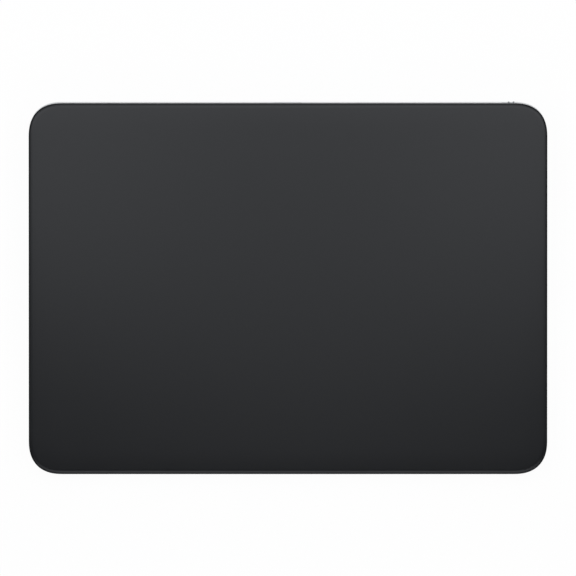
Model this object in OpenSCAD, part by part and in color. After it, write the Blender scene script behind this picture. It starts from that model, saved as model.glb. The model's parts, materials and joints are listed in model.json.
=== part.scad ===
// Wireless desk trackpad. A glass touch plate floats on four force flexures over a
// wedge-shaped metal tray that holds the cell, main board, port, switch and haptic drive.
// X runs right, Y to the rear, Z up, and the feet stand on Z = 0.

/* [Outside] */
// Width across the tray
pad_w = 159.9; // [154:0.1:180]
// Depth of the sloping top, measured along the slope
pad_d = 114.5; // [112:0.1:130]
// Height of the front edge above the desk, before its rounding
front_h = 4.9; // [4.7:0.1:6]
// Height of the rear edge above the desk, before its rounding
rear_h = 11.05; // [10.4:0.05:13]
// Reach of the corner curve along each side
corner_size = 10.5; // [8:0.5:12]
// Exponent of the corner curve, where 2 is a circle and more is squarer
corner_power = 2.44; // [2:0.02:2.8]

/* [Tray] */
// Thickness of the tray's walls
wall_t = 1.6; // [1.3:0.1:2]
// Thickness of the tray's floor
floor_t = 0.9; // [0.8:0.05:1.1]
// Radius of the tray's bottom edge
tray_edge_r = 1.2; // [0.6:0.1:1.5]
// Chamfer on the tray's rim
rim_chamfer = 0.2; // [0.1:0.05:0.3]
// Gap between the glass and the tray's rim
rim_gap = 0.35; // [0.3:0.05:0.6]
// Diameter of a screw boss
boss_d = 4.2; // [3.6:0.1:4.6]

/* [Touch plate] */
// Thickness of the glass
glass_t = 1; // [0.9:0.05:1.1]
// Height of the glass's rounded edge
glass_edge_h = 0.5; // [0.3:0.05:0.55]
// Width of the glass's rounded edge
glass_edge_w = 1.4; // [0.6:0.1:2]
// Fall of the glass's soft border
glass_roll_h = 0.12; // [0.05:0.01:0.15]
// Width of the glass's soft border
glass_roll_w = 7; // [4:0.5:7.5]
// Chamfer on the glass's lower edge
glass_chamfer = 0.1; // [0.05:0.01:0.15]
// How far the glass's edge reaches past the tray's side
glass_lap = 0.04; // [0:0.01:0.1]
// Thickness of the bonding film
bond_t = 0.1; // [0.05:0.01:0.15]
// How far the film stops short of the touch board's edge
bond_inset = 0.5; // [0.2:0.1:2]
// Thickness of the touch sensor board
touch_board_t = 0.6; // [0.5:0.05:0.7]
// Gap between the touch board and the tray's walls
touch_board_gap = 0.7; // [0.4:0.1:1.5]
// Side of the largest touch controller chip
touch_chip_side = 9; // [6:0.5:12]
// Height of the touch controller chips
touch_chip_h = 0.8; // [0.6:0.1:1]

/* [Force sensing] */
// Side of a gel pad
gel_side = 8; // [6:0.5:9]
// Thickness of a gel pad
gel_t = 0.7; // [0.65:0.05:0.8]
// Length of a flexure
flexure_len = 28; // [27:0.5:31]
// Width of a flexure's ends
flexure_w = 9; // [8.5:0.1:10]
// Width of a flexure's bending neck
neck_w = 6; // [4:0.5:7]
// Length of a flexure's screwed end
flexure_root_len = 12; // [11:0.5:13]
// Thickness of a flexure
flexure_t = 0.5; // [0.4:0.05:0.6]
// Gaps between a flexure, the ribbon beside it and the tray's side wall
flexure_side_gap = 0.25; // [0.2:0.05:0.5]
// Gap between a front flexure and the tray's front wall
flexure_front_gap = 3.5; // [3:0.1:5]
// Thickness of a strain gauge's film
gauge_t = 0.1; // [0.05:0.01:0.15]

/* [Haptic drive] */
// Width of the haptic drive's base plate
haptic_w = 64; // [60:1:80]
// Depth of the haptic drive's base plate
haptic_d = 20; // [19:0.5:22]
// Thickness of the base plate
haptic_base_t = 0.5; // [0.4:0.05:0.6]
// Height of the base plate over the tray's floor, at its front edge
haptic_lift = 0.3; // [0.2:0.05:0.4]
// Width of one core
core_w = 22; // [20:0.5:24]
// Depth of one core
core_d = 9; // [7:0.5:10]
// Width of a core's middle leg
core_leg = 6; // [5:0.5:7]
// Thickness of a core's yoke, and half the width of its outer legs
core_yoke = 0.6; // [0.5:0.05:0.8]
// Height of a coil
coil_h = 0.9; // [0.6:0.05:1]
// Gap between the cores and the attraction plate
pole_gap = 0.5; // [0.4:0.05:0.6]
// Thickness of the attraction plate
attract_t = 0.3; // [0.2:0.05:0.4]

/* [Battery] */
// Length of the battery cell
cell_w = 116; // [100:1:120]
// Depth of the battery cell
cell_d = 36; // [30:0.5:37]
// Thickness of the battery cell
cell_t = 3.2; // [2.6:0.1:3.4]
// Radius of the cell's long edges
cell_edge_r = 1.2; // [0.6:0.1:1.25]
// Thickness of the tape under the cell
tape_t = 0.15; // [0.1:0.01:0.2]
// Length of the protection board
guard_w = 30; // [24:1:36]
// Distance of the protection board from the cell's left end
guard_setback = 12; // [8:0.5:16]
// Depth of the protection board
guard_d = 2.6; // [2:0.1:3]
// Width of the battery's lead
lead_w = 5; // [3:0.5:7]

/* [Main board] */
// Length of the main board on the left of the port
board_left = 44; // [42:0.5:50]
// Depth of the main board
board_d = 16; // [15.5:0.1:17]
// Thickness of the main board
board_t = 0.8; // [0.6:0.05:1]
// Height of the main board over the tray's floor, at its front edge
board_lift = 0.8; // [0.7:0.05:1]
// Height of the board's connectors
connector_h = 0.6; // [0.5:0.05:0.8]
// Length of the shield can
can_w = 24; // [18:0.5:25]
// Depth of the shield can
can_d = 10; // [8:0.5:11]
// Height of the shield can
can_h = 1.4; // [1:0.1:2]
// Sheet thickness of the shield can
can_t = 0.2; // [0.15:0.01:0.3]
// Side of the main board's chips
chip_side = 6; // [4:0.5:7]
// Thickness of the flat flexible cables
flex_t = 0.15; // [0.1:0.01:0.2]
// Width of the touch board's flexible cable
touch_flex_w = 12; // [8:0.5:13]
// Width of the ribbons on the tray's floor
ribbon_w = 2.6; // [2:0.1:3]
// Depth of the cables' sockets
plug_len = 3; // [2.5:0.1:3.2]

/* [Charging port] */
// Outer width of the port's shell
port_w = 8.94; // [8:0.01:10]
// Outer height of the port's shell
port_h = 3.26; // [3:0.01:3.6]
// Length of the port's shell
port_len = 7.35; // [6.5:0.05:8]
// Sheet thickness of the port's shell
port_t = 0.3; // [0.2:0.01:0.35]
// How far the port's mouth lies inside the rear wall's face
port_recess = 0.25; // [0.1:0.05:0.5]
// Width of the port's tongue
tongue_w = 6.69; // [6:0.01:7]
// Thickness of the port's tongue
tongue_t = 0.7; // [0.6:0.01:0.8]
// How far the tongue stops short of the mouth
tongue_recess = 0.9; // [0.6:0.05:1.3]
// Contacts on each side of the tongue
contact_count = 12; // [8:1:12]
// Spacing of the contacts
contact_pitch = 0.5; // [0.45:0.01:0.5]

/* [Power switch] */
// Distance of the knob from the tray's right side, switched to its outer end
knob_inset = 11.1; // [10.5:0.1:20]
// Width of the knob
knob_w = 2.1; // [1.8:0.1:2.6]
// Height of the knob
knob_h = 2.2; // [1.8:0.1:2.4]
// Radius of the knob's ends
knob_end_r = 0.8; // [0.4:0.05:0.85]
// How far the knob stands out of the rear wall
knob_proud = 0.33; // [0.2:0.01:0.6]
// Width of the thumb scoop in the knob's face
scoop_w = 1.2; // [1:0.05:1.5]
// Depth of the thumb scoop
scoop_depth = 0.26; // [0.15:0.01:0.4]
// Travel of the knob
switch_travel = 2; // [1.6:0.1:2.2]
// Lap of the knob's inner flange over the slot's edges
flange_lap = 0.5; // [0.3:0.05:0.6]
// Thickness of the knob's inner flange
knob_flange_t = 0.7; // [0.5:0.05:0.8]
// Length of the switch's body
switch_w = 8; // [7.5:0.1:9]
// Depth of the switch's body
switch_d = 3; // [2.8:0.1:3.6]
// Height of the switch's body
switch_h = 2.8; // [2.6:0.1:3.4]
// Side of the switch's lever
lever_side = 1.2; // [1:0.05:1.3]

/* [Feet] */
// Diameter of a foot
foot_d = 10; // [8:0.5:14]
// How far a foot stands below the tray
foot_proud = 0.5; // [0.4:0.05:0.6]
// Depth of a foot's seat in the tray
foot_seat = 0.35; // [0.25:0.05:0.4]
// Distance of a foot's centre from the tray's sides
foot_inset = 14; // [12:0.5:25]
// Radius of a foot's lower edge
foot_edge_r = 0.3; // [0.1:0.05:0.35]

/* [Screws] */
// Diameter of a screw's shank
screw_d = 1.5; // [1.2:0.05:1.6]
// Diameter of a screw's head
screw_head_d = 3; // [2.6:0.1:3.4]
// Height of a screw's head
screw_head_h = 0.35; // [0.3:0.01:0.4]
// Depth of a screw's bite in its boss
screw_bite = 0.6; // [0.5:0.05:0.7]

/* [Clearances] */
// Gap round a shank in its hole, on each side
shank_clear = 0.05; // [0.02:0.01:0.08]
// Room below a shank's end
bite_clear = 0.1; // [0.05:0.01:0.15]
// Gap round the port's shell and the knob where they pass through the wall
wall_clear = 0.15; // [0.1:0.01:0.2]
// Gap between the knob's flange and the wall, and round the lever
slide_clear = 0.1; // [0.08:0.01:0.12]
// Gap between an inset piece and its recess
seat_clear = 0.05; // [0.03:0.01:0.1]
// Gap between neighbouring pieces inside the tray
inner_gap = 1; // [0.8:0.1:1.2]

/* [Hidden] */
$fn = 48;
corner_steps = 12;
edge_steps = 6;
border_steps = 4;
corners = ["front_left", "front_right", "rear_left", "rear_right"];

// Slope of the top, and the heights that follow from it
tilt = asin((rear_h - front_h) / pad_d);
mid_h = (front_h + rear_h) / 2;
base_z = foot_proud;
floor_z = base_z + floor_t;
inner_x = pad_w / 2 - wall_t;
inner_v = pad_d / 2 - wall_t;

// Levels under the glass's face, square to the slope
rim_drop = glass_t + rim_gap;
stack_t = glass_t + bond_t + touch_board_t;
flexure_top = -(stack_t + gel_t);
pole_top = -(stack_t + attract_t + pole_gap);

// Slope level of a height over the desk, at v along the slope
function level(z, v) = (z - mid_h - v * sin(tilt)) / cos(tilt);
function floor_level(v) = level(floor_z, v);

// Main board, set back from the rear wall by the switch's moving parts
lever_reach = 2 * slide_clear + knob_flange_t + inner_gap / 2;
board_rear = inner_v - lever_reach;
board_front = board_rear - board_d;
board_bottom = floor_level(board_front) + board_lift;
board_top = board_bottom + board_t;
axis_level = board_top + port_h / 2;

// Rear face pieces
knob_x = pad_w / 2 - knob_inset;
switch_x = knob_x - switch_travel / 2;
board_right = switch_x + switch_w / 2 + inner_gap;
slot_w = knob_w + switch_travel + 2 * wall_clear;
slot_h = knob_h + 2 * wall_clear;
flange_w = knob_w + 2 * (switch_travel + wall_clear + flange_lap);
flange_h = slot_h + 2 * flange_lap;
port_face = pad_d / 2 - port_recess;

// Pieces in line from the main board to the front
guard_rear = board_front - inner_gap / 2;
cell_rear = guard_rear - guard_d - inner_gap / 4;
haptic_rear = cell_rear - cell_d - 2 * inner_gap;
haptic_front = haptic_rear - haptic_d;
haptic_bottom = floor_level(haptic_front) + haptic_lift;
haptic_top = haptic_bottom + haptic_base_t;
ribbon_u = inner_x - flexure_side_gap - ribbon_w / 2;
flexure_u = ribbon_u - ribbon_w / 2 - flexure_side_gap - flexure_w / 2;
flexure_tips = [-(inner_v - flexure_front_gap), board_front - 2 * inner_gap];
flexure_holes = [flexure_len - flexure_root_len / 4, flexure_len - flexure_root_len * 3 / 4];
tip_len = gel_side + inner_gap;
board_screw_v = board_front + plug_len / 2 + inner_gap + boss_d / 2;
board_screw_us = [-board_left + boss_d / 2 + inner_gap / 2, 0, switch_x - switch_w / 2 - boss_d];
haptic_screw_u = haptic_w / 2 - boss_d / 2 - inner_gap / 2;
haptic_screw_v = haptic_d / 2 - boss_d / 2 - inner_gap / 2;

// Centres the outline over the origin, from its front rim to its rearmost point
function deck_reach(v, w) = v * cos(tilt) - w * sin(tilt);
front_reach = deck_reach(-pad_d / 2 - glass_lap, -glass_fall(0));
wall_reach = deck_reach(pad_d / 2, level(base_z + tray_edge_r, pad_d / 2));
ridge_side = max(0, scoop_w / 2 - knob_w / 2 + knob_end_r);
ridge_lift = knob_end_r - sqrt(pow(knob_end_r, 2) - pow(min(ridge_side, knob_end_r), 2));
knob_reach = deck_reach(pad_d / 2 + knob_proud, axis_level - knob_h / 2 + ridge_lift);
deck_y = -(front_reach + max(wall_reach, knob_reach)) / 2;

metal = [0.77, 0.78, 0.79];
black = [0.15, 0.15, 0.16];
steel = [0.66, 0.67, 0.68];
board_green = [0.06, 0.2, 0.13];
copper = [0.72, 0.42, 0.2];
amber = [0.78, 0.5, 0.16];

function side(i) = i % 2 == 0 ? -1 : 1;
function end(i) = i < 2 ? -1 : 1;

// One corner of the outline, a superellipse arc of the given reach
function corner_arc(reach) = [for (i = [0:corner_steps])
    let (a = 90 * i / corner_steps)
    reach * [pow(cos(a), 2 / corner_power), pow(sin(a), 2 / corner_power)]];

function quarter_turn(p, k) =
    k == 0 ? p : k == 1 ? [-p.y, p.x] : k == 2 ? [-p.x, -p.y] : [p.y, -p.x];

// The outline seen square to the slope, drawn in by inset
function outline(inset) = [for (k = [0:3], p = corner_arc(corner_size - inset))
    let (q = quarter_turn(p, k), right = k == 0 || k == 3, rear = k < 2)
    [(right ? 1 : -1) * (pad_w / 2 - corner_size) + q.x,
     (rear ? 1 : -1) * (pad_d / 2 - corner_size) + q.y]];

// Rings at a level square to the slope, and at a height over the desk
function deck_point(p, w) = [p.x, deck_y + deck_reach(p.y, w), mid_h + p.y * sin(tilt) + w * cos(tilt)];
function deck_ring(inset, w) = [for (p = outline(inset)) deck_point(p, w)];
function desk_ring(inset, z) = [for (p = outline(inset)) deck_point(p, level(z, p.y))];

// Solid through rings that run anticlockwise and rise
module loft(rings) {
    n = len(rings[0]);
    last = len(rings) - 1;
    walls = [for (k = [0:last - 1], i = [0:n - 1])
        let (j = (i + 1) % n, a = k * n, b = a + n)
        each [[a + i, b + i, a + j], [a + j, b + i, b + j]]];
    caps = [[for (i = [0:n - 1]) i], [for (i = [n - 1:-1:0]) last * n + i]];
    polyhedron([for (ring = rings) each ring], concat(walls, caps));
}

module deck() {
    translate([0, deck_y, mid_h]) rotate([tilt, 0, 0]) children();
}

// Prism of the outline between two levels square to the slope
module deck_slab(inset, low, high) {
    deck() translate([0, 0, low]) linear_extrude(high - low) polygon(outline(inset));
}

// Block on the slope, centred on u and running rearward from v and up from w
module deck_block(u, v, w, size) {
    deck() translate([u - size.x / 2, v, w]) cube(size);
}

module rounded_square(size, r) {
    translate([r, 0]) square([size.x - 2 * r, size.y]);
    translate([0, r]) square([size.x, size.y - 2 * r]);
    for (x = [r, size.x - r], y = [r, size.y - r]) translate([x, y]) circle(r);
}

// Bar of rounded section that runs rearward from v, centred on u and the port's axis
module rear_bar(u, v, size, r) {
    deck() translate([u - size.x / 2, v + size.y, axis_level - size.z / 2]) rotate([90, 0, 0])
        linear_extrude(size.y) rounded_square([size.x, size.z], r);
}

module screw(grip) {
    cylinder(d = screw_head_d, h = screw_head_h);
    translate([0, 0, -grip - screw_bite]) cylinder(d = screw_d, h = grip + screw_bite);
}

module screw_hole(depth) {
    translate([0, 0, -depth]) cylinder(d = screw_d + 2 * shank_clear, h = depth + inner_gap);
}

// Local frame of a flexure, with Y from its tip to its screwed end
module flexure_frame(i) {
    deck() translate([side(i) * flexure_u, end(i) < 0 ? flexure_tips[0] : flexure_tips[1], 0])
        rotate([0, 0, end(i) < 0 ? 0 : 180]) children();
}

module at_flexure_screws(level) {
    for (i = [0:3], y = flexure_holes) flexure_frame(i) translate([0, y, level]) children();
}

module at_haptic_screws(level) {
    deck() for (x = [-1, 1], y = [-1, 1])
        translate([x * haptic_screw_u, haptic_front + haptic_d / 2 + y * haptic_screw_v, level])
            children();
}

module at_board_screws(level) {
    deck() for (u = board_screw_us) translate([u, board_screw_v, level]) children();
}

module tray_bosses() {
    reach = rear_h;
    at_flexure_screws(flexure_top - flexure_t - reach) cylinder(d = boss_d, h = reach);
    at_haptic_screws(haptic_bottom - reach) cylinder(d = boss_d, h = reach);
    at_board_screws(board_bottom - reach) cylinder(d = boss_d, h = reach);
}

module tray_cavity() {
    difference() {
        deck_slab(wall_t, -2 * rear_h, inner_gap);
        translate([-pad_w, -pad_d, floor_z - 2 * rear_h]) cube([2 * pad_w, 2 * pad_d, 2 * rear_h]);
        tray_bosses();
    }
}

module tray_skin() {
    edge = [for (i = [0:edge_steps]) let (a = 90 * i / edge_steps)
        desk_ring(tray_edge_r * (1 - sin(a)), base_z + tray_edge_r * (1 - cos(a)))];
    loft(concat(edge, [deck_ring(0, -rim_drop - rim_chamfer), deck_ring(rim_chamfer, -rim_drop)]));
}

// Openings of the rear wall: the port, the knob's slot, and a pocket for the knob's flange
module rear_openings() {
    cut = wall_t + 3 * inner_gap;
    port_hole = [port_w + 2 * wall_clear, cut, port_h + 2 * wall_clear];
    pocket = [flange_w + switch_travel + 2 * wall_clear, lever_reach + inner_gap, flange_h + 2 * wall_clear];
    rear_bar(0, inner_v - inner_gap, port_hole, port_hole.z / 2 - seat_clear);
    rear_bar(switch_x, inner_v - inner_gap, [slot_w, cut, slot_h], knob_end_r + wall_clear);
    deck_block(switch_x, inner_v - pocket.y, axis_level - pocket.z / 2, pocket);
}

module foot_place(i) {
    translate([side(i) * (pad_w / 2 - foot_inset), end(i) * (pad_d / 2 - foot_inset), 0]) children();
}

module tray() {
    hole = screw_bite + bite_clear;
    color(metal) difference() {
        tray_skin();
        tray_cavity();
        rear_openings();
        at_flexure_screws(flexure_top - flexure_t) screw_hole(hole);
        at_haptic_screws(haptic_bottom) screw_hole(hole);
        at_board_screws(board_bottom) screw_hole(hole);
        for (i = [0:3]) foot_place(i)
            cylinder(d = foot_d + 2 * seat_clear, h = base_z + foot_seat);
    }
}

// Fall of the glass's face at a distance from its edge: a soft border, then a rounded edge
function glass_fall(d) =
    glass_roll_h * pow(max(0, 1 - d / glass_roll_w), 2)
    + glass_edge_h * pow(max(0, 1 - d / glass_edge_w), 2);

module glass_surface() {
    edge = [for (i = [0:edge_steps]) glass_edge_w * i / edge_steps];
    border = [for (i = [1:border_steps])
        glass_edge_w + (glass_roll_w - glass_edge_w) * i / border_steps];
    color(black) loft(concat(
        [deck_ring(glass_chamfer - glass_lap, -glass_t),
         deck_ring(-glass_lap, -glass_t + glass_chamfer)],
        [for (d = concat(edge, border)) deck_ring(d - glass_lap, -glass_fall(d))]));
}

module glass_bond() {
    color("white", 0.6)
        deck_slab(wall_t + touch_board_gap + bond_inset, -glass_t - bond_t, -glass_t);
}

module touch_sensor_board() {
    color(board_green) deck_slab(wall_t + touch_board_gap, -stack_t, -glass_t - bond_t);
}

// A row of controllers under the touch board, over the cell
module touch_controller_chips() {
    sides = [touch_chip_side * 2 / 3, touch_chip_side, touch_chip_side * 2 / 3];
    color(black) for (i = [0:2])
        deck_block((i - 1) * 2 * touch_chip_side, cell_rear - cell_d / 2 - sides[i] / 2,
            -stack_t - touch_chip_h, [sides[i], sides[i], touch_chip_h]);
}

module attraction_plate() {
    color(steel)
        deck_block(0, haptic_front, -stack_t - attract_t, [haptic_w - 2 * boss_d, haptic_d, attract_t]);
}

module gel_pad(i) {
    color([0.5, 0.55, 0.6]) flexure_frame(i)
        translate([-gel_side / 2, inner_gap / 2, flexure_top])
            linear_extrude(gel_t) rounded_square([gel_side, gel_side], gel_side / 8);
}

module flexure_blank(w, from, to) {
    translate([-w / 2, from]) rounded_square([w, to - from], inner_gap);
}

module flexure(i) {
    root = flexure_len - flexure_root_len;
    color(steel) flexure_frame(i) difference() {
        translate([0, 0, flexure_top - flexure_t]) linear_extrude(flexure_t) {
            flexure_blank(flexure_w, 0, tip_len);
            flexure_blank(neck_w, tip_len / 2, root + flexure_root_len / 2);
            flexure_blank(flexure_w, root, flexure_len);
        }
        for (y = flexure_holes) translate([0, y, flexure_top]) screw_hole(2 * flexure_t);
    }
}

// A film on the flexure's neck, with a tail over the outer side that runs down to its ribbon
module strain_gauge(i) {
    neck_len = flexure_len - flexure_root_len - tip_len;
    outward = -side(i) * end(i);
    film = neck_len * 2 / 3;
    tail_v = (end(i) < 0 ? flexure_tips[0] : flexure_tips[1]) - end(i) * (tip_len + neck_len / 2);
    tail_u = ribbon_u - flexure_u;
    foot_level = floor_level(tail_v) + flex_t + 2 * seat_clear;
    color(amber) flexure_frame(i) translate([0, tip_len + neck_len / 2, flexure_top]) {
        translate([-neck_w / 3, -film / 2, 0]) cube([neck_w * 2 / 3, film, gauge_t]);
        mirror([outward > 0 ? 0 : 1, 0, 0]) {
            translate([0, -film / 4, 0]) cube([tail_u, film / 2, gauge_t]);
            translate([tail_u - gauge_t, -film / 4, foot_level - flexure_top])
                cube([gauge_t, film / 2, flexure_top - foot_level + gauge_t]);
        }
    }
}

module flexure_screws() {
    color(steel) at_flexure_screws(flexure_top) screw(flexure_t);
}

module haptic_base() {
    color(steel) difference() {
        deck_block(0, haptic_front, haptic_bottom, [haptic_w, haptic_d, haptic_base_t]);
        at_haptic_screws(haptic_top) screw_hole(2 * haptic_base_t);
    }
}

// Two cores of E section, whose legs face the attraction plate
module at_cores() {
    deck() for (x = [-1, 1])
        translate([x * (core_w + 2 * inner_gap) / 2, haptic_front + haptic_d / 2, haptic_top]) children();
}

module haptic_cores() {
    core_h = pole_top - haptic_top;
    color([0.35, 0.36, 0.38]) at_cores() translate([0, core_d / 2, 0]) rotate([90, 0, 0])
        linear_extrude(core_d) {
            translate([-core_w / 2, 0]) square([core_w, core_yoke]);
            translate([-core_leg / 2, 0]) square([core_leg, core_h]);
            for (x = [-core_w / 2, core_w / 2 - 2 * core_yoke])
                translate([x, 0]) square([2 * core_yoke, core_h]);
        }
}

module haptic_coils() {
    window = (core_w - core_leg) / 2 - 2 * core_yoke;
    inside = [core_leg + 2 * slide_clear, core_d + 2 * slide_clear];
    winding = min(window, (haptic_d - core_d) / 2) - 4 * slide_clear;
    outside = [inside.x + 2 * winding, inside.y + 2 * winding];
    color(copper) at_cores() translate([0, 0, core_yoke]) difference() {
        translate([-outside.x / 2, -outside.y / 2, 0]) linear_extrude(coil_h)
            rounded_square(outside, winding / 2);
        translate([-inside.x / 2, -inside.y / 2, -inner_gap]) linear_extrude(coil_h + 2 * inner_gap)
            rounded_square(inside, slide_clear);
    }
}

module haptic_screws() {
    color(steel) at_haptic_screws(haptic_top) screw(haptic_base_t);
}

// The cell lies flat on the floor, so its place is given over the desk
cell_y = deck_y + deck_reach(cell_rear, floor_level(cell_rear)) - cell_d;

module battery_cell() {
    color([0.25, 0.26, 0.28]) translate([-cell_w / 2, cell_y, floor_z + tape_t])
        rotate([90, 0, 90]) linear_extrude(cell_w) rounded_square([cell_d, cell_t], cell_edge_r);
}

module battery_tape() {
    margin = cell_edge_r + inner_gap;
    color("white") translate([margin - cell_w / 2, cell_y + margin, floor_z])
        cube([cell_w - 2 * margin, cell_d - 2 * margin, tape_t]);
}

guard_u = -cell_w / 2 + guard_setback + guard_w / 2;

module battery_protection_board() {
    color(board_green) deck_block(guard_u, guard_rear - guard_d,
        board_top + connector_h - board_t, [guard_w, guard_d, board_t]);
}

lead_u = board_screw_us[0] + boss_d + lead_w / 2;

module battery_lead() {
    run = guard_d + inner_gap / 2 + connector_h * 4;
    color(amber) deck_block(lead_u, guard_rear - guard_d, board_top + connector_h, [lead_w, run, flex_t]);
}

module main_board() {
    w = board_left + board_right;
    color(board_green) difference() {
        deck_block(w / 2 - board_left, board_front, board_bottom, [w, board_d, board_t]);
        at_board_screws(board_top) screw_hole(2 * board_t);
    }
}

can_u = port_w / 2 + inner_gap + can_w / 2;
can_v = board_rear - inner_gap - can_d;

module shield_can() {
    color(steel) difference() {
        deck_block(can_u, can_v, board_top, [can_w, can_d, can_h]);
        deck_block(can_u, can_v + can_t, board_top - inner_gap,
            [can_w - 2 * can_t, can_d - 2 * can_t, can_h + inner_gap - can_t]);
    }
}

// Chips beside and inside the shield can
module board_chips() {
    low = can_h - can_t - 2 * slide_clear;
    color(black) {
        for (x = [-1, 1])
            deck_block(can_u + x * can_w / 5, can_v + can_d / 2 - chip_side / 2, board_top,
                [chip_side, chip_side, low]);
        deck_block(can_u + can_w / 2 + inner_gap + chip_side / 2, can_v, board_top,
            [chip_side, chip_side, low]);
    }
}

fold_v = board_front + board_d / 4;
touch_flex_u = lead_u + lead_w / 2 + inner_gap + touch_flex_w / 2;

// Sockets on the board for the battery's lead and the touch cable, and under it for the ribbons
module board_connectors() {
    drop = board_bottom - floor_level(board_front) - flex_t - 2 * seat_clear;
    color([0.9, 0.88, 0.82]) {
        deck_block(lead_u, board_front + inner_gap / 4, board_top, [lead_w, connector_h * 3, connector_h]);
        deck_block(touch_flex_u, fold_v + plug_len, board_top, [touch_flex_w, plug_len, connector_h]);
        for (u = [-board_left + 2 * ribbon_w + boss_d, board_screw_us[2] - 2 * boss_d])
            deck_block(u, board_front, board_bottom - drop, [ribbon_w, plug_len / 2, drop]);
    }
}

module antenna() {
    size = [2 * chip_side, chip_side / 2, connector_h * 2];
    color("white") deck_block(-board_left + inner_gap + size.x / 2, board_rear - inner_gap - size.y,
        board_top, size);
}

module board_screws() {
    color(steel) at_board_screws(board_top) screw(board_t);
}

module port_bore(v, length, clear) {
    size = [port_w - 2 * (port_t + clear), length, port_h - 2 * (port_t + clear)];
    rear_bar(0, v, size, size.z / 2 - seat_clear);
}

module port_shell() {
    color(steel) difference() {
        rear_bar(0, port_face - port_len, [port_w, port_len, port_h], port_h / 2 - seat_clear);
        port_bore(port_face - port_len + port_t, port_len, 0);
    }
}

port_back = port_face - port_len + port_t + seat_clear;
tongue_root = port_back + port_len / 4;
tongue_len = port_face - tongue_recess - tongue_root;

module port_tongue() {
    color(black) {
        port_bore(port_back, tongue_root - port_back, seat_clear);
        deck_block(0, tongue_root - inner_gap, axis_level - tongue_t / 2,
            [tongue_w, tongue_len + inner_gap, tongue_t]);
    }
}

module port_contacts() {
    size = [contact_pitch / 2, tongue_len * 3 / 4, seat_clear];
    first = -(contact_count - 1) / 2 * contact_pitch;
    color([0.85, 0.68, 0.3]) for (i = [0:contact_count - 1]) {
        deck_block(first + i * contact_pitch, tongue_root, axis_level + tongue_t / 2, size);
        deck_block(first + i * contact_pitch, tongue_root, axis_level - tongue_t / 2 - size.z, size);
    }
}

switch_rear = board_rear - inner_gap / 2;
lever_front = switch_rear - switch_d / 2;
flange_front = inner_v - slide_clear - knob_flange_t;
lever_rear = flange_front + knob_flange_t + wall_t / 4;

module switch_body() {
    groove = [lever_side + switch_travel + 2 * slide_clear, switch_d, lever_side + 2 * slide_clear];
    color([0.2, 0.2, 0.22]) difference() {
        deck_block(switch_x, switch_rear - switch_d, board_top, [switch_w, switch_d, switch_h]);
        deck_block(switch_x, lever_front - slide_clear, axis_level - groove.z / 2, groove);
    }
}

module switch_lever() {
    color(black) deck_block(knob_x, lever_front, axis_level - lever_side / 2,
        [lever_side, lever_rear - lever_front, lever_side]);
}

module switch_knob() {
    socket = [lever_side + 2 * slide_clear, lever_rear - flange_front + slide_clear,
              lever_side + 2 * slide_clear];
    grip_len = pad_d / 2 + knob_proud - flange_front;
    scoop_r = (pow(scoop_w / 2, 2) + pow(scoop_depth, 2)) / (2 * scoop_depth);
    color(metal) difference() {
        union() {
            deck_block(knob_x, flange_front, axis_level - flange_h / 2, [flange_w, knob_flange_t, flange_h]);
            rear_bar(knob_x, flange_front, [knob_w, grip_len, knob_h], knob_end_r);
        }
        deck_block(knob_x, flange_front - inner_gap, axis_level - socket.z / 2,
            [socket.x, socket.y + inner_gap, socket.z]);
        deck() translate([knob_x, pad_d / 2 + knob_proud + scoop_r - scoop_depth, axis_level - knob_h])
            cylinder(r = scoop_r, h = 2 * knob_h);
    }
}

// A folded cable from the touch board's underside to its socket on the main board
module touch_flex() {
    low = board_top + connector_h;
    fold_r = (-stack_t - low) / 2;
    leg = 2 * plug_len;
    color(amber) deck() translate([touch_flex_u - touch_flex_w / 2, fold_v, low + fold_r])
        rotate([90, 0, 90]) linear_extrude(touch_flex_w) {
            difference() {
                circle(fold_r);
                circle(fold_r - flex_t);
                translate([0, -2 * fold_r]) square(4 * fold_r);
            }
            translate([0, -fold_r]) square([leg, flex_t]);
            translate([0, fold_r - flex_t]) square([leg, flex_t]);
        }
}

// Ribbons lie on the floor, from beside the flexures to the sockets under the main board
function floor_y(v) = deck_y + deck_reach(v, floor_level(v));

module ribbon(u, from, to, end_u) {
    color(amber) translate([0, 0, floor_z]) linear_extrude(flex_t) {
        translate([u - ribbon_w / 2, floor_y(from)]) square([ribbon_w, floor_y(to) - floor_y(from)]);
        translate([min(u, end_u) - ribbon_w / 2, floor_y(to) - ribbon_w])
            square([abs(end_u - u) + ribbon_w, ribbon_w]);
    }
}

gauge_front_v = flexure_tips[0] + tip_len;
haptic_ribbon_v = haptic_front + haptic_d / 2;
ribbon_rear_v = board_front + plug_len / 2;

module sensor_ribbon_left() {
    ribbon(-ribbon_u, gauge_front_v, ribbon_rear_v, -board_left + 2 * ribbon_w + boss_d);
}

module sensor_ribbon_right() {
    ribbon(ribbon_u, gauge_front_v, ribbon_rear_v, board_screw_us[2] - 2 * boss_d);
}

// From the haptic drive's side, between two flexures, to the right-hand sensor ribbon
module haptic_ribbon() {
    start = haptic_w / 2 - boss_d;
    color(amber) translate([start, floor_y(haptic_ribbon_v) - ribbon_w / 2, floor_z])
        cube([ribbon_u - ribbon_w / 2 - start, ribbon_w, flex_t]);
}

module foot(i) {
    r = foot_d / 2;
    h = foot_proud + foot_seat;
    color([0.24, 0.24, 0.25]) foot_place(i) rotate_extrude() {
        translate([0, foot_edge_r]) square([r, h - foot_edge_r]);
        square([r - foot_edge_r, h]);
        translate([r - foot_edge_r, foot_edge_r]) intersection() {
            circle(foot_edge_r);
            translate([0, -foot_edge_r]) square(foot_edge_r);
        }
    }
}

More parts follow.
